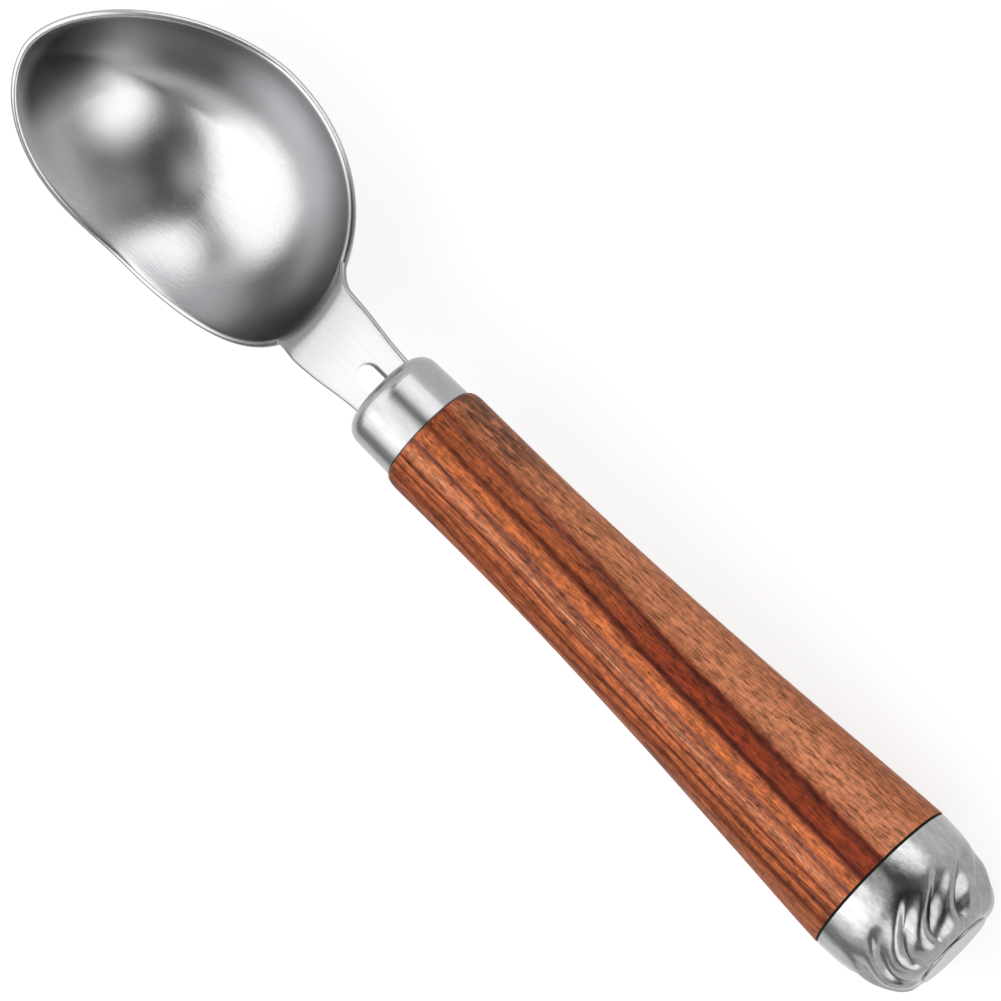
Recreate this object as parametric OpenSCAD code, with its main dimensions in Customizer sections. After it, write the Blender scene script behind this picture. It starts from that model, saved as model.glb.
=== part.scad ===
// Ice cream scoop: a pressed steel bowl and neck, held in a turned wood grip by a through tang,
// with a drawn ferrule in front and a cast, swirl-fluted end cap behind.
// The origin is the centre of the cap's flat butt face. +X leaves the butt along the handle, the
// bowl lies towards -X and opens towards +Z. Sizes are millimetres and angles are degrees.

/* [Bowl] */
// Length inside the bowl, from the widest place to the tip
bowl_front_l = 34.3; // [28:0.1:40]
// Length inside the bowl, from the widest place to the back wall
bowl_back_l = 29.5; // [26:0.1:36]
// Width inside the bowl, at the rim's widest place
bowl_w = 45.4; // [38:0.1:52]
// Depth inside the bowl, below the neck's top face
bowl_depth = 26; // [20:0.5:32]
// Dip of the rim at the sides, below the neck's top face
rim_dip = 11.5; // [8:0.1:14]
// Rise of the rim at the tip, above the neck's top face
tip_rise = 1.2; // [0:0.1:1.5]
// Thickness of the pressed sheet
sheet_t = 1.4; // [1:0.1:2]

/* [Neck] */
// Visible length of the neck, from the bowl's back wall to the ferrule
neck_l = 18.5; // [14:0.1:24]
// Width of the neck where its edges leave the rim
root_w = 20; // [17:0.1:22]
// Width of the neck just behind its bend
neck_back_w = 16.8; // [13:0.1:18]
// Width of the neck at the ferrule
neck_w = 13.4; // [11:0.1:16]
// Reach of the bend between the bowl's back wall and the flat neck
bend_l = 4.2; // [2.5:0.1:6]
// Width of the tail that goes into the handle
tail_w = 9.6; // [7:0.1:10.5]
// Length of the tail, from the ferrule's front
tail_l = 24; // [15:0.5:40]

/* [Tang] */
// Diameter of the tang rod
rod_d = 5; // [4:0.1:6]
// Width of the rod's flattened front, which is welded on the neck
bar_w = 4; // [3:0.1:4.8]
// Thickness of that flattened front
bar_t = 0.7; // [0.6:0.1:1.4]
// Length of the flattened front that shows before the ferrule
bar_show_l = 5.2; // [2:0.1:8]
// Length of rod that stands out of the nut
rod_end_l = 1.5; // [0.5:0.1:2.5]

/* [Ferrule] */
// Visible length of the ferrule
ferrule_l = 10.8; // [8:0.1:16]
// Outer diameter of the ferrule at the wood
ferrule_d = 18.7; // [17.5:0.1:20.2]
// Narrowing of the ferrule's diameter towards its front
ferrule_taper = 0.3; // [0:0.05:1]
// Radius of the ferrule's rounded front edge
ferrule_edge_r = 3.2; // [1.5:0.1:3.5]
// Wall of the ferrule
ferrule_wall = 1; // [0.6:0.1:1.4]

/* [Grip] */
// Visible length of the wood
grip_l = 104.1; // [85:0.1:125]
// Diameter of the wood behind the ferrule
grip_front_d = 20.4; // [19.5:0.1:24]
// Diameter of the wood at the end cap
grip_back_d = 29.3; // [25:0.1:34]
// Straight length of the wood, before it flares
grip_straight_l = 15; // [8:0.5:30]
// Length of the rounded shoulder at the ferrule
shoulder_l = 2.4; // [1:0.1:5]

/* [Fastening] */
// Diameter of the counterbore in the back of the wood
pocket_d = 13; // [12:0.1:16]
// Depth of that counterbore
pocket_l = 17; // [14:0.5:22]
// Outer diameter of the tang washer
washer_d = 12.4; // [10:0.1:12.8]
// Thickness of the tang washer
washer_t = 1.2; // [0.8:0.1:2]
// Nut size across its flats
nut_flats_w = 8; // [7.5:0.1:10]
// Thickness of the nut
nut_t = 4; // [3:0.1:5]

/* [Cap spacer] */
// Thickness of the black ring between wood and cap
spacer_t = 0.5; // [0.3:0.05:1]
// Setback of the ring's edge inside the wood's edge
spacer_inset = 0.3; // [0.1:0.05:1]

/* [End cap] */
// Length of the cap
cap_l = 16.9; // [14:0.1:22]
// Diameter of the fluted body where it meets the end button
cap_end_d = 16.4; // [15:0.1:20]
// Diameter of the flat end button
button_d = 14.5; // [12:0.1:15]
// Height of the end button above the fluted body
button_h = 0.4; // [0.2:0.05:1]
// Radius on the button's edge
button_edge_r = 0.25; // [0.1:0.05:0.3]
// Number of flutes
flutes = 12; // [8:1:16]
// Depth of the flutes
flute_depth = 1.4; // [0.3:0.05:1.6]
// Smooth collar in front of the flutes
collar_l = 5.2; // [4:0.1:9]
// Turn of the flutes about the handle
flute_twist = 35.5; // [0:0.5:45]
// Length of the spigot that plugs the counterbore
spigot_l = 7; // [4:0.1:8]
// Diameter of the cored hole in the cap
core_d = 8; // [7:0.1:9]
// Solid metal between the cored hole and the butt face
core_floor_t = 6; // [4:0.1:8]

/* [Hidden] */

// One overrun serves all cuts. Seats have the first clearance, and holes that a piece only
// passes through have the second.
overrun = 1;
seat_gap = 0.1;
bore_gap = 0.2;
$fn = 96;

// Places along the handle, from the butt forward
cap_x = -cap_l;
wood_back_x = cap_x - spacer_t;
wood_front_x = wood_back_x - grip_l;
ferrule_x = wood_front_x - ferrule_l;
back_x = ferrule_x - neck_l;
wide_x = back_x - bowl_back_l;
tail_x = ferrule_x + tail_l;
pocket_x = wood_back_x - pocket_l;
nut_x = pocket_x + washer_t;
rod_end_x = nut_x + nut_t + rod_end_l;
spigot_x = cap_x - spigot_l;

// Form of the bowl: the wall's roundness, the heights where it would stand upright at the back
// and elsewhere, the roundness of its plan, and the run of the rim's dip towards tip and neck
wall_power = 2;
back_upright_z = 1;
side_upright_z = 12;
front_power = 1.69;
back_power = 2.05;
tip_in_power = 1.46;
tip_out_power = 2.06;
root_in_power = 2.46;
root_out_power = 0.51;
wall_pull_share = 0.65;
neck_pull_share = 1;
corner_power = 3;

// Form of the grip's flare and of the cap's dome
flare_in_power = 1.75;
flare_out_power = 1.15;
dome_power = 2.2;
flute_skew = 0.6;
flute_turn_share = 0.8;
flute_end_share = 0.6;

// Counts of facets: along and around the bowl's wall, across the neck, along bend and neck
wall_rows = 14;
rim_cols = 72;
half_cols = 6;
bend_rows = 8;
neck_rows = 4;
edge_angles = [50, 0, -50];
arc_steps = 10;
flare_steps = 26;
flute_cols = 8;
flute_rows = 14;
collar_rows = 2;

function mix(a, b, s) = a + (b - a) * s;
function unit(v) = v / norm(v);
function smooth(s) = let (t = min(max(s, 0), 1)) t * t * (3 - 2 * t);
function signed_pow(v, p) = sign(v) * pow(abs(v), p);

// Turns a shape that was drawn along Z onto the handle's axis
module along_x() {
    rotate([0, 90, 0]) children();
}

// The bowl. Its inside is one rounded surface, trimmed by the dipping rim. An angle runs round
// the rim from 0 at the neck to 180 at the tip. Towards the neck the wall stands more upright.
function from_neck(angle) = let (a = (angle % 360 + 360) % 360) min(a, 360 - a);
function upright_z(angle) = mix(back_upright_z, side_upright_z, smooth(from_neck(angle) / 90));
function depth_share(z, top_z) = max(top_z - z, 0) / (top_z + bowl_depth);
function reach_share(z, top_z) = pow(1 - pow(depth_share(z, top_z), wall_power), 1 / wall_power);
function tip_rim_z(share) =
    tip_rise - (rim_dip + tip_rise) * (1 - pow(1 - pow(1 - share, tip_in_power), tip_out_power));
function root_rim_z(share) = -rim_dip * pow(1 - pow(share, root_in_power), root_out_power);

// Reach of the whole rounded surface to each side, so that the trimmed rim has its real size
side_reach = bowl_w / 2 / reach_share(-rim_dip, side_upright_z);
root_angle = asin(pow(root_w / 2 / side_reach, back_power / 2));
root_z = root_rim_z(pow(cos(root_angle), 2 / back_power));
back_reach = bowl_back_l / reach_share(root_z, back_upright_z);
front_reach = bowl_front_l / reach_share(tip_rise, side_upright_z);

function plan_power(angle) = cos(angle) > 0 ? back_power : front_power;
function plan(angle) = [
    (cos(angle) > 0 ? back_reach : front_reach) * signed_pow(cos(angle), 2 / plan_power(angle)),
    side_reach * signed_pow(sin(angle), 2 / plan_power(angle))
];
function rim_z(angle) =
    let (a = max(from_neck(angle), root_angle), share = pow(abs(cos(a)), 2 / plan_power(a)))
    cos(a) > 0 ? root_rim_z(share) : tip_rim_z(share);
function wall_point(angle, row) =
    let (top_z = upright_z(angle),
         rim_turn = acos(pow(depth_share(rim_z(angle), top_z), wall_power / 2)),
         turn = rim_turn * row / wall_rows, p = plan(angle) * pow(sin(turn), 2 / wall_power))
    [wide_x + p[0], p[1], top_z - (top_z + bowl_depth) * pow(cos(turn), 2 / wall_power)];

cols = rim_cols + 2 * half_cols;
across = 2 * half_cols + 1;
function rim_angle(col) =
    col <= half_cols ? root_angle * col / half_cols
    : col >= cols - half_cols ? root_angle * (col - cols) / half_cols
    : mix(root_angle, 360 - root_angle, (col - half_cols) / rim_cols);

// The neck leaves the back wall through a bend whose edges start along the rim. A place across
// it runs from -half_cols to half_cols.
edge_r = sheet_t / 2;
flat_x = back_x + bend_l;
function neck_half_w(x) =
    mix(neck_back_w / 2, neck_w / 2, smooth((x - flat_x) / (ferrule_x - flat_x))) - edge_r;
function wall_top(place) = wall_point(root_angle * place / half_cols, wall_rows);
function place_share(place) = wall_top(place)[1] / wall_top(half_cols)[1];
function leave_dir(place) =
    let (side = place < 0 ? -1 : 1, rim_step = root_angle / half_cols,
         up = unit(wall_top(place) - wall_point(root_angle * place / half_cols, wall_rows - 1)),
         along = unit(wall_point(side * root_angle, wall_rows)
                      - wall_point(side * (root_angle + rim_step), wall_rows)))
    unit(mix(up, along, pow(abs(place) / half_cols, corner_power)));
function bend_point(place, s) =
    let (from = wall_top(place), to = [flat_x, place_share(place) * neck_half_w(flat_x), 0],
         pull = norm(to - from))
    from * (1 + s * s * (2 * s - 3)) + to * s * s * (3 - 2 * s)
    + leave_dir(place) * wall_pull_share * pull * s * (1 - s) * (1 - s)
    - [neck_pull_share * pull, 0, 0] * s * s * (1 - s);
function neck_point(place, s) =
    let (x = mix(flat_x, ferrule_x, s)) [x, place_share(place) * neck_half_w(x), 0];

// The sheet's upper face, as a list: the bowl's deepest point, its rings, and the neck's rows
last_row = wall_rows + bend_rows + neck_rows;
upper = concat(
    [[wide_x, 0, -bowl_depth]],
    [for (row = [1:wall_rows], col = [0:cols - 1]) wall_point(rim_angle(col), row)],
    [for (row = [1:bend_rows], place = [-half_cols:half_cols]) bend_point(place, row / bend_rows)],
    [for (row = [1:neck_rows], place = [-half_cols:half_cols]) neck_point(place, row / neck_rows)]
);
count = len(upper);
function ring_at(row, col) = 1 + (row - 1) * cols + (col + cols) % cols;
function neck_at(row, place) =
    row <= wall_rows ? ring_at(row, place)
    : 1 + wall_rows * cols + (row - wall_rows - 1) * across + place + half_cols;

// The sheet's direction upwards out of each point, from its neighbours
function facing(next_row, last, next_col, last_col) =
    unit(cross(upper[next_row] - upper[last], upper[next_col] - upper[last_col]));
function ring_facing(row, col) =
    let (on_neck = col <= half_cols || col >= cols - half_cols,
         place = col <= half_cols ? col : col - cols,
         above = row < wall_rows ? ring_at(row + 1, col)
               : on_neck ? neck_at(row + 1, place) : ring_at(row, col),
         below = row > 1 ? ring_at(row - 1, col) : 0)
    facing(above, below, ring_at(row, col + 1), ring_at(row, col - 1));
function neck_facing(row, place) =
    facing(neck_at(min(row + 1, last_row), place), neck_at(row - 1, place),
           neck_at(row, min(place + 1, half_cols)), neck_at(row, max(place - 1, -half_cols)));
up_dirs = concat(
    [[0, 0, 1]],
    [for (row = [1:wall_rows], col = [0:cols - 1]) ring_facing(row, col)],
    [for (row = [wall_rows + 1:last_row], place = [-half_cols:half_cols]) neck_facing(row, place)]
);
lower = [for (i = [0:count - 1]) upper[i] - sheet_t * up_dirs[i]];

// The sheet's free edge runs from the neck's +Y edge round the rim to its -Y edge, rounded over
edge_loop = concat(
    [for (row = [last_row:-1:wall_rows + 1]) neck_at(row, half_cols)],
    [for (col = [half_cols:cols - half_cols]) ring_at(wall_rows, col)],
    [for (row = [wall_rows + 1:last_row]) neck_at(row, -half_cols)]
);
edge_count = len(edge_loop);
function out_dir(k) =
    k == 0 ? [0, 1, 0]
    : k == edge_count - 1 ? [0, -1, 0]
    : unit(cross(upper[edge_loop[k + 1]] - upper[edge_loop[k - 1]], up_dirs[edge_loop[k]]));
edge_points = [
    for (angle = edge_angles, k = [0:edge_count - 1])
        let (i = edge_loop[k])
        upper[i] + edge_r * ((sin(angle) - 1) * up_dirs[i] + cos(angle) * out_dir(k))
];
function edge_at(band, k) =
    band < 0 ? edge_loop[k]
    : band < len(edge_angles) ? 2 * count + band * edge_count + k
    : count + edge_loop[k];

function quad(a, b, c, d) = [[a, b, c], [a, c, d]];
function flip(tri) = [tri[2], tri[1], tri[0]];
upper_faces = concat(
    [for (col = [0:cols - 1]) [0, ring_at(1, col + 1), ring_at(1, col)]],
    [for (row = [1:wall_rows - 1], col = [0:cols - 1])
        each quad(ring_at(row, col), ring_at(row, col + 1), ring_at(row + 1, col + 1),
                  ring_at(row + 1, col))],
    [for (row = [wall_rows:last_row - 1], place = [-half_cols:half_cols - 1])
        each quad(neck_at(row, place), neck_at(row, place + 1), neck_at(row + 1, place + 1),
                  neck_at(row + 1, place))]
);
lower_faces = [for (tri = upper_faces) flip(tri) + [count, count, count]];
edge_faces = [
    for (band = [-1:len(edge_angles) - 1], k = [0:edge_count - 2])
        each quad(edge_at(band, k), edge_at(band, k + 1), edge_at(band + 1, k + 1),
                  edge_at(band + 1, k))
];
end_faces = concat(
    [for (place = [-half_cols:half_cols - 1])
        each quad(neck_at(last_row, place), neck_at(last_row, place + 1),
                  count + neck_at(last_row, place + 1), count + neck_at(last_row, place))],
    [[for (band = [-1:len(edge_angles)]) edge_at(band, 0)]],
    [[for (band = [len(edge_angles):-1:-1]) edge_at(band, edge_count - 1)]]
);

module scoop_head() {
    color("silver") {
        polyhedron(concat(upper, lower, edge_points),
                   concat(upper_faces, lower_faces, edge_faces, end_faces));
        translate([ferrule_x - edge_r, -tail_w / 2, -sheet_t])
            cube([tail_l + edge_r, tail_w, sheet_t]);
    }
}

// The rod's front lies on the tail. Past the ferrule's wall it is flattened, with a round end.
module tang_rod() {
    lap_x = ferrule_x + ferrule_wall + bore_gap;
    color("gray") {
        difference() {
            along_x() translate([0, 0, lap_x]) cylinder(d = rod_d, h = rod_end_x - lap_x);
            translate([lap_x - overrun, -rod_d, -rod_d])
                cube([tail_x + bore_gap - lap_x + overrun, 2 * rod_d, rod_d]);
        }
        translate([ferrule_x - bar_show_l + bar_w / 2, 0, 0])
            linear_extrude(bar_t) {
                circle(d = bar_w);
                translate([0, -bar_w / 2])
                    square([lap_x - ferrule_x + bar_show_l, bar_w]);
            }
    }
}

// Points on a quarter round, from the front face outwards, as [radius, place along X]
function front_round(x, r, round_r) = [
    for (i = [0:arc_steps])
        let (a = 90 * i / arc_steps)
        [r - round_r * (1 - sin(a)), x + round_r * (1 - cos(a))]
];

module ferrule() {
    front_r = (ferrule_d - ferrule_taper) / 2;
    inner_round = front_round(ferrule_x + ferrule_wall, front_r - ferrule_wall,
                              ferrule_edge_r - ferrule_wall);
    color("silver") difference() {
        along_x() rotate_extrude() polygon(concat(
            [[0, ferrule_x]],
            front_round(ferrule_x, front_r, ferrule_edge_r),
            [[ferrule_d / 2, wood_front_x], [ferrule_d / 2 - ferrule_wall, wood_front_x]],
            [for (i = [arc_steps:-1:0]) inner_round[i]],
            [[0, ferrule_x + ferrule_wall]]
        ));
        translate([ferrule_x - overrun, -tail_w / 2 - seat_gap, -sheet_t - seat_gap])
            cube([ferrule_wall + 2 * overrun, tail_w + 2 * seat_gap, sheet_t + 2 * seat_gap]);
        translate([ferrule_x - overrun, -bar_w / 2 - seat_gap, 0])
            cube([ferrule_wall + 2 * overrun, bar_w + 2 * seat_gap, bar_t + seat_gap]);
    }
}

// Radius of the wood at a distance behind the ferrule
function grip_r(l) =
    let (s = max(l - grip_straight_l, 0) / (grip_l - grip_straight_l))
    mix(grip_front_d / 2, grip_back_d / 2,
        1 - pow(1 - pow(s, flare_in_power), flare_out_power));

module grip() {
    spigot_front_x = ferrule_x + ferrule_wall + seat_gap;
    spigot_r = (ferrule_d - ferrule_taper) / 2 - ferrule_wall - seat_gap;
    shoulder_h = (grip_front_d - ferrule_d) / 2;
    color("sienna") difference() {
        along_x() rotate_extrude() polygon(concat(
            [[0, spigot_front_x]],
            front_round(spigot_front_x, spigot_r, ferrule_edge_r - ferrule_wall),
            [[spigot_r, wood_front_x]],
            [for (i = [0:arc_steps])
                let (a = 90 * i / arc_steps)
                [ferrule_d / 2 + shoulder_h * sin(a), wood_front_x + shoulder_l * (1 - cos(a))]],
            [for (i = [0:flare_steps])
                let (l = mix(grip_straight_l, grip_l, i / flare_steps))
                [grip_r(l), wood_front_x + l]],
            [[0, wood_back_x]]
        ));
        along_x() translate([0, 0, spigot_front_x - overrun])
            cylinder(d = rod_d + 2 * bore_gap, h = wood_back_x - spigot_front_x + 2 * overrun);
        along_x() translate([0, 0, pocket_x]) cylinder(d = pocket_d, h = pocket_l + overrun);
        translate([spigot_front_x - overrun, -tail_w / 2 - bore_gap, -sheet_t - bore_gap])
            cube([tail_x + bore_gap - spigot_front_x + overrun, tail_w + 2 * bore_gap,
                  sheet_t + 2 * bore_gap]);
    }
}

module tang_washer() {
    color("gray") along_x() translate([0, 0, pocket_x]) difference() {
        cylinder(d = washer_d, h = washer_t);
        translate([0, 0, -overrun])
            cylinder(d = rod_d + 2 * bore_gap, h = washer_t + 2 * overrun);
    }
}

module tang_nut() {
    color("gray") along_x() translate([0, 0, nut_x]) difference() {
        cylinder(d = nut_flats_w / cos(30), h = nut_t, $fn = 6);
        translate([0, 0, -overrun])
            cylinder(d = rod_d + seat_gap, h = nut_t + 2 * overrun);
    }
}

module cap_spacer() {
    color("black") along_x() translate([0, 0, wood_back_x]) difference() {
        cylinder(d = grip_back_d - 2 * spacer_inset, h = spacer_t);
        translate([0, 0, -overrun]) cylinder(d = pocket_d, h = spacer_t + 2 * overrun);
    }
}

// The cap's dome, whose flutes turn about the handle as they run to the end button
dome_l = cap_l - button_h;
flute_l = dome_l - collar_l;
function dome_r(l) =
    mix(cap_end_d / 2, grip_back_d / 2, pow(1 - pow(l / dome_l, dome_power), 1 / dome_power));
function flute_turn(l) = flute_twist * smooth((l - collar_l) / (flute_l * flute_turn_share));
function flute_cut(l, phase) =
    let (s = max(l - collar_l, 0) / flute_l,
         fade = smooth(2 * s) * mix(1, flute_end_share, smooth(2 * s - 1)))
    flute_depth * fade * (1 - sin(180 * pow(phase, flute_skew)));
function row_place(row) =
    row <= collar_rows ? collar_l * row / collar_rows
    : collar_l + flute_l * sin(90 * (row - collar_rows) / flute_rows);
dome_rows = collar_rows + flute_rows;
dome_cols = flutes * flute_cols;
function dome_point(row, col) =
    let (l = row_place(row), angle = 360 * col / dome_cols + flute_turn(l),
         r = dome_r(l) - flute_cut(l, (col % flute_cols) / flute_cols))
    [cap_x + l, r * cos(angle), r * sin(angle)];
function dome_at(row, col) = row * dome_cols + col % dome_cols;

module dome() {
    points = concat(
        [for (row = [0:dome_rows], col = [0:dome_cols - 1]) dome_point(row, col)],
        [[cap_x + dome_l, 0, 0]]
    );
    middle = (dome_rows + 1) * dome_cols;
    polyhedron(points, concat(
        [[for (col = [0:dome_cols - 1]) dome_at(0, col)]],
        [for (row = [0:dome_rows - 1], col = [0:dome_cols - 1])
            each quad(dome_at(row, col), dome_at(row + 1, col), dome_at(row + 1, col + 1),
                      dome_at(row, col + 1))],
        [for (col = [0:dome_cols - 1])
            [middle, dome_at(dome_rows, col + 1), dome_at(dome_rows, col)]]
    ));
}

module end_cap() {
    color("lightslategray") difference() {
        union() {
            dome();
            along_x() rotate_extrude() polygon(concat(
                [[0, -button_h - overrun], [button_d / 2, -button_h - overrun]],
                [for (i = [0:arc_steps])
                    let (a = 90 * i / arc_steps)
                    [button_d / 2 - button_edge_r * (1 - cos(a)), -button_edge_r * (1 - sin(a))]],
                [[0, 0]]
            ));
            along_x() translate([0, 0, spigot_x])
                cylinder(d = pocket_d - 2 * seat_gap, h = spigot_l + overrun);
        }
        along_x() translate([0, 0, spigot_x - overrun])
            cylinder(d = core_d, h = cap_l + spigot_l - core_floor_t + overrun);
    }
}

scoop_head();
tang_rod();
ferrule();
grip();
tang_washer();
tang_nut();
cap_spacer();
end_cap();
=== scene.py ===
# %% [markdown]
# # Dressing an ice cream scoop
# The CAD model of the scoop comes in first, as a frame that stays fixed. Each of its nodes has
# its object at the origin and its place in its mesh, in metres. Every piece that is made below
# is put where the CAD says, and only gives the scoop a finer surface and its finish.

# %% Load the CAD frame
import math

import bpy
from mathutils import Matrix, Vector


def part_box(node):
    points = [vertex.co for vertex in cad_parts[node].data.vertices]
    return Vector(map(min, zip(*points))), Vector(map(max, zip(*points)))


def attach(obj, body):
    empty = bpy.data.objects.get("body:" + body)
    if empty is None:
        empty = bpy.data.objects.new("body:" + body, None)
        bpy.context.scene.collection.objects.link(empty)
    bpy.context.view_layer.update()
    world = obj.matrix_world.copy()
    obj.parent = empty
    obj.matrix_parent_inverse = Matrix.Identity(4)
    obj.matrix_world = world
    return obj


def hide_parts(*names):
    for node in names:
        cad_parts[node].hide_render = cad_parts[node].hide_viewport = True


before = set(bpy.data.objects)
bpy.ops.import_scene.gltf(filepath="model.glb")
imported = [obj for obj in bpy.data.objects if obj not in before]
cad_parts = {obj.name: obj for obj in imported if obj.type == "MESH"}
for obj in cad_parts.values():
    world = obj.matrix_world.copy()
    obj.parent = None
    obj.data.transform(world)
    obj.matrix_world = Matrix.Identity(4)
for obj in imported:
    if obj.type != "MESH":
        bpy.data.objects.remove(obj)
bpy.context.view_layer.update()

MM = 0.001
print("CAD nodes:", sorted(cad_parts))

# %% [markdown]
# ## The camera
# The picture that this scoop was made from looks down on the open bowl, with the handle running
# from the upper left to the lower right. A long lens far away gives almost no perspective, as a
# product picture has. Three angles place such a camera: how far it leans towards the butt, how
# far it turns about the handle, and how much the picture is rolled.

# %% Set up the camera
LEAN, TURN, ROLL = math.radians(9.15), math.radians(28), math.radians(0.47)
SENSOR_MM, PICTURE_PX, PX_PER_MM, DISTANCE_MM = 36, 1001, 6.1, 2000

to_camera = Vector((math.sin(LEAN), math.cos(LEAN) * math.sin(TURN),
                    math.cos(LEAN) * math.cos(TURN)))
across_handle = Vector((0, to_camera.z, -to_camera.y)).normalized()
along_handle = across_handle.cross(to_camera)
near, far = math.cos(ROLL) + math.sin(ROLL), math.cos(ROLL) - math.sin(ROLL)
picture_right = (along_handle * near + across_handle * far) / math.sqrt(2)
picture_up = (across_handle * near - along_handle * far) / math.sqrt(2)
aim_point = (Vector((-105.4, 0, 0)) + 0.475 * across_handle) * MM


def looking_at(place, right, up):
    """The matrix of a camera or lamp at a place, from its own right and up directions"""
    turn = Matrix((right, up, right.cross(up))).transposed()
    return Matrix.Translation(place) @ turn.to_4x4()


bpy.ops.object.camera_add()
camera = bpy.context.object
camera.name = "picture_camera"
camera.matrix_world = looking_at(aim_point + DISTANCE_MM * MM * to_camera, picture_right,
                                 picture_up)
camera.data.sensor_width = SENSOR_MM
camera.data.lens = PX_PER_MM * DISTANCE_MM * SENSOR_MM / PICTURE_PX
bpy.context.scene.camera = camera
print("Lens:", round(camera.data.lens, 1), "mm, looking from", [round(x, 3) for x in to_camera])

# %% [markdown]
# ## Working on copies of the CAD nodes
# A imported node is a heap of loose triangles. That is fine for a turned part, whose exact normals
# come with it, but a pressed or cast shape shows its facets as soon as it shines. A copy can be
# worked on by hand: its corners are merged, its triangles are joined to quads, and a subdivision
# surface then rounds it without moving it. The copy stands for the node, which stays for physics.

# %% Helpers for copies
MERGE_GAP = 0.004 * MM
QUAD_FACE_ANGLE, QUAD_SHAPE_ANGLE = math.radians(50), math.radians(70)


def select_only(part):
    """Selects one object alone and makes it active"""
    bpy.ops.object.select_all(action="DESELECT")
    part.select_set(True)
    bpy.context.view_layer.objects.active = part


def edit_mesh(part, kind="VERT"):
    """Opens a part in edit mode with nothing selected"""
    select_only(part)
    bpy.ops.object.mode_set(mode="EDIT")
    bpy.ops.mesh.select_mode(type=kind)
    bpy.ops.mesh.select_all(action="DESELECT")


def select_where(part, kind, test):
    """Leaves the vertices, edges or faces selected that pass the test. Returns how many."""
    bpy.ops.object.mode_set(mode="OBJECT")
    chosen = [element for element in getattr(part.data, kind) if test(element)]
    for element in chosen:
        element.select = True
    bpy.ops.object.mode_set(mode="EDIT")
    return len(chosen)


def welded_copy(node, name):
    """A copy of a CAD node with its corners merged and its triangles joined to quads"""
    select_only(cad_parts[node])
    bpy.ops.object.duplicate()
    part = bpy.context.object
    part.name = part.data.name = name
    part.parent = None
    for key in list(part.keys()):
        del part[key]
    bpy.ops.mesh.customdata_custom_splitnormals_clear()
    edit_mesh(part)
    bpy.ops.mesh.select_all(action="SELECT")
    bpy.ops.mesh.remove_doubles(threshold=MERGE_GAP)
    bpy.ops.mesh.tris_convert_to_quads(face_threshold=QUAD_FACE_ANGLE,
                                       shape_threshold=QUAD_SHAPE_ANGLE)
    bpy.ops.mesh.select_all(action="DESELECT")
    bpy.ops.object.mode_set(mode="OBJECT")
    return part


def apply_all(part):
    """Applies a part's modifiers from the top down, as they would be in the interface"""
    select_only(part)
    for modifier in list(part.modifiers):
        bpy.ops.object.modifier_apply(modifier=modifier.name)


def finish_shading(part, angle):
    """Smooths the shading up to an angle and prints what the part is made of"""
    select_only(part)
    bpy.ops.object.shade_smooth_by_angle(angle=angle)
    print(part.name, "has", len(part.data.vertices), "vertices and", len(part.data.polygons),
          "faces")

# %% [markdown]
# ## The bowl and neck
# The real bowl and neck are one sheet of steel, pressed to shape and trimmed, with the cut edge
# rounded over. The copy's rings come together in one point at the bottom of the bowl, and a
# subdivided surface puckers at such a pole. So the innermost ring is refilled with a small grid
# of quads, which is then pushed down to the depth that the pole had.

# %% Refill the poles at the bottom of the bowl
POLE_SIZE, PUSH_RADIUS, GRID_SIDE = 0.2 * MM, 2.6 * MM, 21


def refill_pole(part, pole):
    """Swaps the fan of triangles round a pole for a grid of quads, pushed out to the pole"""
    edit_mesh(part)
    select_where(part, "vertices", lambda vertex: (vertex.co - pole).length < POLE_SIZE)
    bpy.ops.mesh.delete(type="VERT")
    bpy.ops.mesh.select_mode(type="EDGE")
    bpy.ops.mesh.select_non_manifold(use_wire=False, use_multi_face=False,
                                     use_non_contiguous=False, use_verts=False)
    bpy.ops.mesh.fill_grid(span=GRID_SIDE, offset=GRID_SIDE // 2)
    bpy.ops.mesh.select_mode(type="VERT")
    bpy.ops.mesh.select_all(action="DESELECT")
    bpy.ops.object.mode_set(mode="OBJECT")
    middle = min(part.data.vertices, key=lambda v: (v.co - pole).length)
    middle.select = True
    push = pole.z - middle.co.z
    bpy.ops.object.mode_set(mode="EDIT")
    bpy.ops.transform.translate(value=(0, 0, push), use_proportional_edit=True,
                                proportional_edit_falloff="INVERSE_SQUARE",
                                proportional_size=PUSH_RADIUS,
                                use_proportional_connected=True)
    bpy.ops.object.mode_set(mode="OBJECT")
    return push


bowl = welded_copy("scoop_head", "pressed_bowl")
head_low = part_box("scoop_head")[0]
BOWL_MIDDLE_X, SHEET_T = -180.3 * MM, 1.4 * MM
for height in (head_low.z, head_low.z + SHEET_T):
    push = refill_pole(bowl, Vector((BOWL_MIDDLE_X, 0, height)))
    print("Refilled the pole at", round(height / MM, 2), "mm, pushed", round(push / MM, 3), "mm")

# %% [markdown]
# The tail that goes into the handle is a plain bar with square edges, and so are the shoulders
# that bear on the ferrule. Their edges get a full crease, so that the subdivision rounds only
# the bowl, its rim and the bend. The floor of the bowl is then evened out round the refilled
# pole, first close to it and then wider, as a planishing hammer would.

# %% Crease the tail and round the rest
SUBDIVISIONS = 2
EVENED = ((3.5 * MM, 30), (5 * MM, 12), (7 * MM, 4))
EVENED_DEPTH = 3 * MM
SHARP_TAIL, SMOOTH_BOWL = math.radians(60), math.radians(40)
ferrule_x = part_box("ferrule")[0].x


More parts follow.
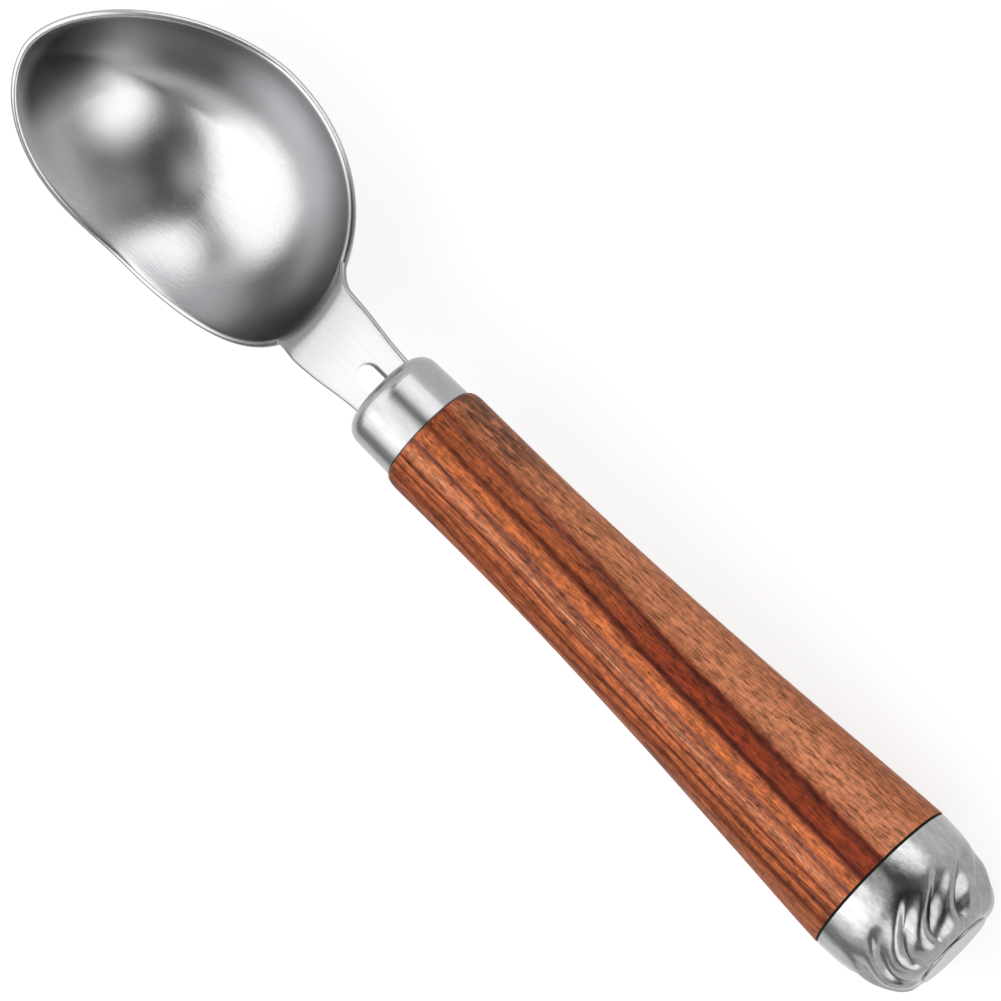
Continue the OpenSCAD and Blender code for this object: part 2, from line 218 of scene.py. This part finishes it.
def crease_sharp(part, angle, where=lambda middle: True):
    """Gives a full crease to the edges that are sharper than an angle. Returns how many."""
    edit_mesh(part, "EDGE")
    bpy.ops.mesh.edges_select_sharp(sharpness=angle)
    bpy.ops.object.mode_set(mode="OBJECT")
    corners = part.data.vertices
    for edge in part.data.edges:
        ends = [corners[i].co for i in edge.vertices]
        edge.select = edge.select and where((ends[0] + ends[1]) / 2)
    count = sum(edge.select for edge in part.data.edges)
    bpy.ops.object.mode_set(mode="EDIT")
    bpy.ops.transform.edge_crease(value=1)
    bpy.ops.object.mode_set(mode="OBJECT")
    return count


def subdivide_smoothly(part):
    """Adds a subdivision surface and applies it"""
    rounding = part.modifiers.new("Rounding", "SUBSURF")
    rounding.levels = rounding.render_levels = SUBDIVISIONS
    apply_all(part)


def even_out(part, radius, times):
    """Evens out the vertices round the bottom of the bowl, on both faces of the sheet"""
    edit_mesh(part)
    count = select_where(part, "vertices", lambda v: v.co.z < head_low.z + EVENED_DEPTH
                         and math.hypot(v.co.x - BOWL_MIDDLE_X, v.co.y) < radius)
    bpy.ops.mesh.vertices_smooth(factor=0.5, repeat=times)
    bpy.ops.object.mode_set(mode="OBJECT")
    return count


creased = crease_sharp(bowl, SHARP_TAIL, lambda middle: middle.x > ferrule_x - 0.1 * MM)
print("Creased", creased, "edges")
subdivide_smoothly(bowl)
for radius, times in EVENED:
    count = even_out(bowl, radius, times)
    print("Evened", count, "vertices out within", round(radius / MM, 1), "mm")
finish_shading(bowl, SMOOTH_BOWL)

# %% [markdown]
# ## The end cap
# The cap is a casting with a swirl of flutes, each with one crisp valley. The valleys and the
# edges of the button keep a crease, and the lobes between them are rounded.

# %% Make the end cap
SHARP_VALLEY, SMOOTH_CAP = math.radians(50), math.radians(45)

cap = welded_copy("end_cap", "swirl_cap")
creased = crease_sharp(cap, SHARP_VALLEY)
print("Creased", creased, "edges")
subdivide_smoothly(cap)
finish_shading(cap, SMOOTH_CAP)

# %% [markdown]
# ## The tang bar
# The flattened end of the tang lies on the neck and is welded there. Its edges are dressed with
# a small bevel, which catches the light as the real one does.

# %% Make the tang
BEVEL_WIDTH, BEVEL_STEPS, BEVEL_ANGLE = 0.33 * MM, 3, math.radians(40)

tang = welded_copy("tang_rod", "tang_bar")
softened = tang.modifiers.new("Dressed edges", "BEVEL")
softened.width, softened.segments = BEVEL_WIDTH, BEVEL_STEPS
softened.limit_method, softened.angle_limit = "ANGLE", BEVEL_ANGLE
apply_all(tang)
finish_shading(tang, BEVEL_ANGLE)

# %% [markdown]
# ## Finishes as expressions
# Every finish is a small drawing in numbers: noise stretched along the grain, thresholds, sums.
# Such maths reads better as Python than as a list of nodes. A wire stands for an output socket,
# and adding or multiplying wires adds the Math node that does it. Colours and vectors go through
# Mix and Vector Math nodes instead, because a Math node would turn a colour grey.

# %% Wires, drawings and finishes
def maths(operation, *inputs):
    """A Math node on wires and numbers"""
    drawing = next(value.drawing for value in inputs if isinstance(value, Wire))
    return drawing.node("ShaderNodeMath", {"operation": operation}, inputs)


class Wire:
    """An output socket that can be used in an expression"""
    def __init__(self, drawing, socket):
        self.drawing, self.socket = drawing, socket

    def __add__(self, other):
        return maths("ADD", self, other)

    def __sub__(self, other):
        return maths("SUBTRACT", self, other)

    def __mul__(self, other):
        return maths("MULTIPLY", self, other)

    def __truediv__(self, other):
        return maths("DIVIDE", self, other)

    def __pow__(self, other):
        return maths("POWER", self, other)

    def __rsub__(self, other):
        return maths("SUBTRACT", other, self)

    def __rtruediv__(self, other):
        return maths("DIVIDE", other, self)

    __radd__, __rmul__ = __add__, __mul__

    def size(self):
        return maths("ABSOLUTE", self)

    def rise(self, low, high):
        """0 below the low value, 1 above the high one, and a smooth rise between"""
        return self.drawing.node("ShaderNodeMapRange", {"interpolation_type": "SMOOTHSTEP"},
                                {"Value": self, "From Min": low, "From Max": high})


class Drawing:
    """A node tree whose nodes are added by name, with their settings first"""
    def __init__(self, tree):
        self.tree = tree

    def node(self, kind, settings=None, inputs=(), output=0):
        """Adds a node, sets it, fills or links its inputs and returns a wire from it"""
        node = self.tree.nodes.new(kind)
        for key, value in (settings or {}).items():
            if key == "stops":
                for spare in list(node.color_ramp.elements)[1:]:
                    node.color_ramp.elements.remove(spare)
                for i, (place, colour) in enumerate(value):
                    stop = (node.color_ramp.elements[0] if i == 0
                            else node.color_ramp.elements.new(place))
                    stop.position, stop.color = place, (*colour, 1)
            else:
                setattr(node, key, value)
        pairs = inputs.items() if isinstance(inputs, dict) else enumerate(inputs)
        for key, value in pairs:
            self.fill(node.inputs[key], value)
        return Wire(self, node.outputs[output])

    def fill(self, socket, value):
        if isinstance(value, Wire):
            self.tree.links.new(value.socket, socket)
        elif isinstance(value, tuple) and socket.type == "RGBA":
            socket.default_value = (*value, 1)
        else:
            socket.default_value = value

    def place_mm(self):
        """The place on the object, in millimetres"""
        spot = self.node("ShaderNodeTexCoord", output="Object")
        return self.node("ShaderNodeVectorMath", {"operation": "SCALE"},
                         {"Vector": spot, "Scale": 1 / MM})

    def along(self, vector, direction):
        """How far a place lies along a direction"""
        return self.node("ShaderNodeVectorMath", {"operation": "DOT_PRODUCT"},
                         [vector, tuple(direction)], output="Value")

    def noise(self, vector, lengths, detail=2.0, roughness=0.5, seed=0.0):
        """Noise from 0 to 1 whose blotches have these lengths along X, Y and Z, in mm"""
        moved = self.node("ShaderNodeVectorMath", {"operation": "MULTIPLY_ADD"},
                          [vector, tuple(1 / length for length in lengths), (seed, seed, seed)])
        return self.node("ShaderNodeTexNoise", {}, {"Vector": moved, "Scale": 1.0,
                                                    "Detail": detail, "Roughness": roughness})

    def mix(self, share, first, second):
        """A mix of two colours. A Mix node has its colours in sockets 6 and 7."""
        return self.node("ShaderNodeMix", {"data_type": "RGBA"}, {0: share, 6: first, 7: second},
                         output=2)

    def shade(self, colour, amount):
        """A colour made lighter or darker by an amount round 1"""
        return self.node("ShaderNodeVectorMath", {"operation": "SCALE"},
                         {"Vector": colour, "Scale": amount})


class Finish(Drawing):
    """A material, whose drawing feeds one shader"""
    def __init__(self, name, **constants):
        self.material = bpy.data.materials.new(name)
        self.material.use_nodes = True
        super().__init__(self.material.node_tree)
        self.shader = self.tree.nodes["Principled BSDF"]
        for socket, value in constants.items():
            self.shader.inputs[socket.replace("_", " ")].default_value = value

    def use(self, **links):
        for socket, wire in links.items():
            self.fill(self.shader.inputs[socket.replace("_", " ")], wire)

    def bump(self, height, depth_mm):
        """Bends the normal by a height from 0 to 1 that stands for a depth in mm"""
        self.use(Normal=self.node("ShaderNodeBump", {}, {"Height": height, "Strength": 1.0,
                                                         "Distance": depth_mm * MM}))

    def give(self, *parts):
        for part in parts:
            part.data.materials.clear()
            part.data.materials.append(self.material)
        print(self.material.name, "has", len(self.tree.nodes), "nodes, on",
              ", ".join(part.name for part in parts))

# %% [markdown]
# ## Brushed steel
# The sheet was brushed lengthwise before it was pressed, and the press drew the strokes with it.
# Long thin noise gives the strokes. They lift and lower the roughness a little and bend the
# normal a little, and broad soft noise leaves some parts duller, as handling does. The colour is
# darker inside the steep walls at the tip and the back and at the tight bend at the neck: this
# is painted shade, which stands in for the dark reflections there. A faint dark line is also
# drawn round the tongue of the tang.

# %% Brush the bowl, the neck and the tang
def brushed_steel(name, colour, roughness, stroke_lengths, seed, painted_darkening=None):
    steel = Finish(name, Metallic=1.0)
    spot = steel.place_mm()
    strokes = steel.noise(spot, stroke_lengths, detail=3, roughness=0.6, seed=seed)
    cloud = steel.noise(spot, (9, 5, 5), detail=3, roughness=0.6, seed=seed + 4)
    tone = 0.79 + 0.32 * strokes + 0.10 * cloud
    # painted shade: a given darkening multiplies the colour
    if painted_darkening is not None:
        tone = tone * painted_darkening(steel, spot)
    steel.use(Base_Color=steel.shade(colour, tone),
              Roughness=roughness + 0.10 * strokes + 0.06 * cloud - 0.08)
    steel.bump(strokes, 0.018)
    return steel


BOWL_COLOUR, NECK_L, TONGUE_L, TONGUE_R = (0.45, 0.45, 0.46), 18.5, 5.2, 2.0
BOWL_REACH = (34.3, 22.7, 26.0)
neck_x = ferrule_x / MM - NECK_L
tip_x = head_low.x / MM


def bowl_painted_shade_and_line(steel, spot):
    """Painted shade: darker steel inside the tip, at the back and at the bend, and a faint dark
    line round the tongue
    """
    x, y, z = (steel.along(spot, axis) for axis in ((1, 0, 0), (0, 1, 0), (0, 0, 1)))
    from_middle = steel.node("ShaderNodeVectorMath", {"operation": "MULTIPLY_ADD"},
                             [spot, tuple(1 / reach for reach in BOWL_REACH),
                              (-BOWL_MIDDLE_X / MM / BOWL_REACH[0], 0, 0)])
    depth = steel.node("ShaderNodeVectorMath", {"operation": "LENGTH"}, [from_middle],
                       output="Value")
    inside = 1 - depth.rise(0.955, 0.98)
    # painted shade: the tip, the back and the bend are darkened to stand in for dark reflections
    at_tip = (1 - x.rise(tip_x + 5.5, tip_x + 11)) * inside
    at_back = x.rise(neck_x - 17, neck_x - 6) * (1 - z.rise(-7, -2))
    at_bend = x.rise(neck_x - 9, neck_x - 2) * (1 - 0.5 * x.rise(neck_x, neck_x + 13))
    past_end = maths("MINIMUM", x - (ferrule_x / MM - TONGUE_L + TONGUE_R), 0.0)
    from_tongue = (past_end * past_end + y * y) ** 0.5 - TONGUE_R
    tongue_line = 1 - (from_tongue - 0.12).size().rise(0.06, 0.3)
    return ((1 - 0.72 * at_tip) * (1 - 0.42 * at_back) * (1 - 0.4 * at_bend)
            * (1 - 0.3 * tongue_line))


brushed_steel("brushed_bowl_steel", BOWL_COLOUR, 0.24, (9, 0.18, 0.18), 1.0,
              bowl_painted_shade_and_line).give(bowl)
brushed_steel("brushed_tang_steel", (0.5, 0.5, 0.51), 0.3, (5, 0.12, 0.12), 7.0).give(tang)

# %% [markdown]
# ## Turned steel of the ferrule
# The ferrule was drawn to a cup and polished on a lathe, so its fine marks run round it. They
# depend on the place along the handle alone.

# %% Turn the ferrule
turned = Finish("turned_ferrule_steel", Metallic=1.0)
spot = turned.place_mm()
rings = turned.noise(spot, (0.09, 60, 60), detail=3, roughness=0.6, seed=2.0)
cloud = turned.noise(spot, (4, 1.6, 1.6), detail=3, roughness=0.6, seed=5.0)
x = turned.along(spot, (1, 0, 0))
ferrule_low, ferrule_high = (corner.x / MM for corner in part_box("ferrule"))
# painted shade: the colour falls to near black at both ends of the ferrule, for the shadow in the
# seams, and this covers the whole flat front face
seam_shade = (x - ferrule_low).rise(0.0, 0.5) * (ferrule_high - x).rise(0.1, 0.35)
turned.use(Base_Color=turned.shade((0.365, 0.365, 0.375),
                                   (0.70 + 0.16 * rings + 0.44 * cloud) * (0.08 + 0.92 * seam_shade)),
           Roughness=0.15 + 0.10 * rings + 0.05 * cloud)
turned.bump(rings, 0.004)
turned.give(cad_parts["ferrule"])

plain = brushed_steel("plain_fastener_steel", (0.5, 0.5, 0.5), 0.35, (0.8, 0.8, 0.8), 9.0)
plain.give(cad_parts["tang_nut"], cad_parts["tang_washer"])

# %% [markdown]
# ## Cast metal of the cap
# The cap is a grey casting, tumbled to a soft shine. It is darker than the steel, its surface
# rolls a little, and the smooth collar at its front is a little lighter and less rough than the
# fluted part.

# %% Cast the cap
cast = Finish("cast_cap_metal", Metallic=1.0)
spot = cast.place_mm()
roll = cast.noise(spot, (2.6, 2.6, 2.6), detail=2, seed=3.0)
grain = cast.noise(spot, (0.5, 0.18, 0.18), detail=3, roughness=0.6, seed=6.0)
stain = cast.noise(spot, (2.2, 1.1, 1.1), detail=4, roughness=0.65, seed=8.0)
collar = 1 - cast.along(spot, (1, 0, 0)).rise(-13, -9)
cast.use(Base_Color=cast.shade((0.31, 0.315, 0.32),
                               (0.45 + 0.90 * stain + 0.20 * grain) * (1 + 0.2 * collar)),
         Roughness=0.15 + 0.08 * stain + 0.05 * grain - 0.04 * collar)
cast.bump(0.8 * roll + 0.2 * grain, 0.05)
cast.give(cap)

# %% [markdown]
# ## The black ring
# A thin ring of fibre fills the seam between wood and cap. It is matt and nearly black.

# %% Blacken the ring
fibre = Finish("black_fibre", Specular_IOR_Level=0.2)
spot = fibre.place_mm()
felt = fibre.noise(spot, (0.3, 0.3, 0.3), detail=3, seed=1.5)
fibre.use(Base_Color=fibre.shade((0.012, 0.010, 0.009), 0.6 + 0.8 * felt),
          Roughness=0.7 + 0.2 * felt)
fibre.give(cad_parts["cap_spacer"])

# %% [markdown]
# ## Rosewood
# A plank is a stack of growth layers, and the turned grip cuts through them, so the wood is
# painted by depth into that stack and not by place on the surface. The layers stand across the
# grip and run a little askew to it, so the veins drift down towards the butt. A ramp lays a few
# wood colours at given depths: two dark veins with a red band between them, a bright
# orange band below, tan wood above, and a row of dark growth rings at the lower side.

# %% Lay the growth layers
wood = Finish("oiled_rosewood", Specular_IOR_Level=0.09)
spot = wood.place_mm()
x = wood.along(spot, (1, 0, 0))
slow = wood.noise(spot, (46, 9, 9), detail=2, seed=11.0)
wavy = wood.noise(spot, (14, 3, 3), detail=2, seed=12.0)
layer = (wood.along(spot, across_handle) + 0.03 * x + 2.1
         + 2.0 * (slow - 0.5) + 0.7 * (wavy - 0.5))

TAN, PALE_TAN, DULL_TAN = (0.68, 0.228, 0.102), (0.80, 0.290, 0.140), (0.44, 0.135, 0.060)
ORANGE, BRIGHT_ORANGE = (0.64, 0.165, 0.055), (0.84, 0.222, 0.060)
RUST, SMOKE = (0.48, 0.116, 0.036), (0.26, 0.080, 0.052)
UMBER, NEAR_BLACK = (0.20, 0.034, 0.010), (0.12, 0.020, 0.006)
VEINS = (
    (-13.0, RUST), (-11.2, DULL_TAN), (-10.6, RUST), (-10.1, UMBER), (-9.6, RUST),
    (-9.1, ORANGE), (-8.6, UMBER), (-8.1, ORANGE), (-7.3, ORANGE), (-6.9, UMBER),
    (-6.4, ORANGE), (-5.7, PALE_TAN), (-4.6, ORANGE), (-4.0, SMOKE), (-3.4, ORANGE),
    (-2.7, BRIGHT_ORANGE), (-1.8, ORANGE), (-1.2, RUST), (-0.8, UMBER), (-0.3, NEAR_BLACK),
    (0.3, RUST), (2.0, RUST), (2.7, SMOKE), (3.2, UMBER), (3.9, DULL_TAN), (4.8, TAN),
    (7.0, PALE_TAN), (10.0, PALE_TAN), (13.0, TAN),
)
low, high = VEINS[0][0], VEINS[-1][0]
base = wood.node("ShaderNodeValToRGB",
                 {"stops": [((depth - low) / (high - low), colour) for depth, colour in VEINS]},
                 [(layer - low) / (high - low)])
print("The ramp has", len(VEINS), "places in", len({colour for _, colour in VEINS}), "colours")

# %% [markdown]
# Growth is never even. A smoky patch lies in the tan wood by the ferrule, and the red band
# deepens towards the butt. Thin dark lines are one more reading of the same depth: a noise that
# changes every half millimetre across the layers but hardly along them, strong in the lower
# wood and weak in the tan. Pores are long cells with a dark heart, and fibres and a fine cross
# ripple go over everything.

# %% Draw the patch, lines, pores and fibres
smoke = wood.noise(spot, (3.4, 1.0, 1.0), detail=3, roughness=0.6, seed=24.0)
by_ferrule = 1 - x.rise(-114, -92)
red_band = layer.rise(-1.6, -0.8) * (1 - layer.rise(3.6, 4.6))
base = wood.mix(0.22 * by_ferrule * red_band, base, RUST)
patch = by_ferrule * layer.rise(4.3, 5.6) * (1 - layer.rise(8.2, 9.4)) * smoke.rise(0.30, 0.55)
base = wood.mix(0.85 * patch, base, (0.15, 0.064, 0.046))
heart = (1 - (layer - 1.5).size().rise(1.7, 2.8)) * x.rise(-95, -60)
tint = wood.mix(heart, (1, 1, 1), (0.70, 0.42, 0.34))
base = wood.node("ShaderNodeVectorMath", {"operation": "MULTIPLY"}, [base, tint])

deep = wood.along(spot, to_camera)
grain_place = wood.node("ShaderNodeCombineXYZ", {}, [0.022 * x, 1.7 * layer, 0.10 * deep])
lines = wood.node("ShaderNodeTexNoise", {}, {"Vector": grain_place, "Scale": 1.0, "Detail": 3.0,
                                             "Roughness": 0.6})
dark_lines = lines.rise(0.50, 0.64) * (1 - 0.75 * layer.rise(-3.4, -1.6))
fibres = wood.noise(spot, (1.9, 0.26, 0.26), detail=3, roughness=0.65, seed=21.0)
mottle = wood.noise(spot, (3.6, 0.7, 0.7), detail=3, roughness=0.65, seed=22.0)
ripple = wood.noise(spot, (0.8, 4.0, 4.0), detail=2, seed=23.0)
pore_place = wood.node("ShaderNodeVectorMath", {"operation": "MULTIPLY"},
                       [spot, (0.22, 1.7, 1.7)])
pores = wood.node("ShaderNodeTexVoronoi", {"feature": "F1"},
                  {"Vector": pore_place, "Scale": 1.0, "Randomness": 1.0})
pore = (1 - pores.rise(0.12, 0.30)) * smoke.rise(0.35, 0.6)
tone = ((1 + 2.5 * (fibres - 0.5) + 2.4 * (mottle - 0.5) + 0.7 * (ripple - 0.5))
        * (1 - 0.5 * dark_lines) * (1 - 0.6 * pore))

# %% [markdown]
# The wood is darkened where it meets the ferrule: painted shade in the seam.

# %% Finish the wood
grip_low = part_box("grip")[0].x / MM
# painted shade: the wood darkens towards its front end, for the shadow in the seam at the ferrule
seam_shade = (x - grip_low).rise(0.5, 1.1)
wood.use(Base_Color=wood.shade(base, tone * (0.15 + 0.85 * seam_shade)),
         Roughness=0.44 + 0.16 * fibres + 0.12 * pore)
wood.bump(0.7 * fibres - 0.6 * pore - 0.2 * dark_lines, 0.03)
wood.give(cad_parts["grip"])

# %% [markdown]
# ## The studio
# The scoop lies on a white table, on the bottom of its bowl and the edge of its grip. The handle
# is level in the CAD frame, so here the table leans instead. The table and the surroundings show
# white to the camera and to the metal, and the table still takes the soft shadow.

# %% Lay the table
TABLE_SIZE = 8
slope = (head_low.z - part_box("grip")[0].z) / (BOWL_MIDDLE_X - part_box("grip")[1].x)
table_up = Vector((-slope, 0, 1)).normalized()
lowest = min(table_up.dot(corner.co) for node in ("scoop_head", "grip", "end_cap")
             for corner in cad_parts[node].data.vertices)
bpy.ops.mesh.primitive_plane_add(size=TABLE_SIZE, location=table_up * lowest,
                                 rotation=(0, -math.atan(slope), 0))
table = bpy.context.object
table.name = "white_table"


def seen_white(drawing):
    """1 for the camera, a reflection or a view through glass, and 0 for diffuse light"""
    rays = drawing.node("ShaderNodeLightPath").socket.node.outputs
    camera_ray, glossy, through = (Wire(drawing, rays[name]) for name in
                                   ("Is Camera Ray", "Is Glossy Ray", "Is Transmission Ray"))
    return maths("MAXIMUM", maths("MAXIMUM", camera_ray, glossy), through)


paper = Finish("white_paper", Base_Color=(0.35, 0.35, 0.35, 1), Roughness=0.9,
               Specular_IOR_Level=0.0, Emission_Color=(1, 1, 1, 1))
white = seen_white(paper)
paper.use(Emission_Strength=0.80 * white)
paper.give(table)
print("The table leans", round(math.degrees(math.atan(slope)), 2), "degrees")

# %% [markdown]
# A real light tent is white on every side. The camera and the metal see it at full white, and it
# gives the wood and the table a little less light than that, so that pale surfaces do not clip.

# %% Light the surroundings
DIFFUSE_LEVEL = 0.62
world = bpy.data.worlds.new("white_studio")
bpy.context.scene.world = world
world.use_nodes = True
around = Drawing(world.node_tree)
backdrop = around.tree.nodes["Background"]
around.fill(backdrop.inputs["Color"], (1.0, 1.0, 1.0))
around.fill(backdrop.inputs["Strength"], DIFFUSE_LEVEL + (1 - DIFFUSE_LEVEL) * seen_white(around))
print("The surroundings light the wood at", DIFFUSE_LEVEL, "of white")

# %% [markdown]
# Polished metal is drawn by what it mirrors. The photographer's dark room lies round the camera,
# with soft white reflectors on either side of it and dark cards between them. A light grey card
# close to the camera shows in the floor of the bowl, and a grey flag low beside the handle gives
# the round parts their darker edge. Each is a plane that fades out towards its rim, so that no
# hard line shows in the steel, and the nearer one covers the farther. They are seen in
# reflections alone.

# %% Hang the reflectors and the cards
def seen_from_scoop(polar, turn):
    """A direction at an angle from the camera's, turned from the butt's side to the upper right"""
    polar, turn = math.radians(polar), math.radians(turn)
    side = math.cos(turn) * along_handle + math.sin(turn) * across_handle
    return math.cos(polar) * to_camera + math.sin(polar) * side


def hang(thing, name, direction, distance, twist=0.0):
    """Hangs a lamp or card so that it faces the scoop"""
    right = across_handle.cross(direction).normalized()
    up = direction.cross(right)
    c, s = math.cos(math.radians(twist)), math.sin(math.radians(twist))
    thing.matrix_world = looking_at(aim_point + distance * direction, c * right + s * up,
                                    c * up - s * right)
    thing.name = name


def soft_card(name, polar, turn, spread, brightness, core, distance, twist=0.0):
    """Hangs a card that spreads over these angles along and across the handle. Its middle is
    even out to the core, as a share of its size, and it fades from there."""
    bpy.ops.mesh.primitive_plane_add(size=2)
    card = bpy.context.object
    hang(card, name, seen_from_scoop(polar, turn), distance, twist)
    card.scale = [distance * math.tan(math.radians(angle)) for angle in spread] + [1]
    card.visible_camera = card.visible_diffuse = card.visible_shadow = False
    card.visible_transmission = card.visible_volume_scatter = False
    fade = Finish("fading_" + name, Base_Color=(0, 0, 0, 1), Specular_IOR_Level=0.0,
                  Emission_Color=(1, 1, 1, 1), Emission_Strength=brightness)
    spot = fade.node("ShaderNodeTexCoord", output="Object")
    radius = fade.node("ShaderNodeVectorMath", {"operation": "LENGTH"}, [spot], output="Value")
    fade.use(Alpha=1 - radius.rise(core, 1.0))
    fade.give(card)


soft_card("dark_room", 12, 5, (66, 72), 0.1, core=0.7, distance=3.0)
soft_card("white_low", 54, -132, (45, 53), 2.3, core=0.5, twist=12, distance=2.2)
soft_card("white_far", 57, -102, (28, 16), 2.8, core=0.45, distance=2.1)
soft_card("white_high", 56, 111, (27, 42), 2.4, core=0.42, twist=-5, distance=2.0)
soft_card("white_butt", 54, -4, (27, 34), 2.6, core=0.35, twist=8, distance=1.9)
soft_card("white_side", 50, -80, (12, 13), 2.0, core=0.5, distance=1.8)
soft_card("dark_heart", 20, 20, (13, 29), 0.03, core=0.5, twist=20, distance=1.5)
soft_card("dark_upper", 47, 62, (14, 32), 0.45, core=0.45, twist=-33, distance=1.3)
soft_card("dark_lower", 58, -57, (13, 33), 0.3, core=0.4, twist=28, distance=1.4)
soft_card("grey_centre", 8, -131, (13, 17), 0.8, core=0.4, distance=0.6)
soft_card("grey_flag", 116, -90, (55, 27), 0.38, core=0.6, distance=0.4)

# %% [markdown]
# Two soft lamps from the sides light the wood and the table. They stay out of the reflections,
# where the reflectors stand for them.

# %% Hang the lamps
LAMP_DISTANCE = 1.0


def soft_lamp(name, polar, turn, size, brightness):
    """Hangs a round lamp whose energy grows with its face, so that its brightness holds"""
    bpy.ops.object.light_add(type="AREA")
    lamp = bpy.context.object
    lamp.data.shape, lamp.data.size = "DISK", size
    lamp.data.energy = brightness * math.pi * size * size
    hang(lamp, name, seen_from_scoop(polar, turn), LAMP_DISTANCE)
    lamp.visible_glossy = False


soft_lamp("lamp_low", 50, -128, 0.8, 0.7)
soft_lamp("lamp_high", 60, 110, 0.6, 0.5)

# %% [markdown]
# ## Handing over
# Nothing on a scoop moves, so the three dressed copies ride on the one body. Each of them
# stands for its CAD node, which is hidden, and the other nodes are shown as they are, in their
# new finish.

# %% Hand the pieces over
for part, node, slot in ((bowl, "scoop_head", "bowl_steel"), (cap, "end_cap", "cap_metal"),
                         (tang, "tang_rod", "tang_steel")):
    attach(part, "root")
    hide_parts(node)

bpy.context.scene.view_settings.view_transform = "Standard"
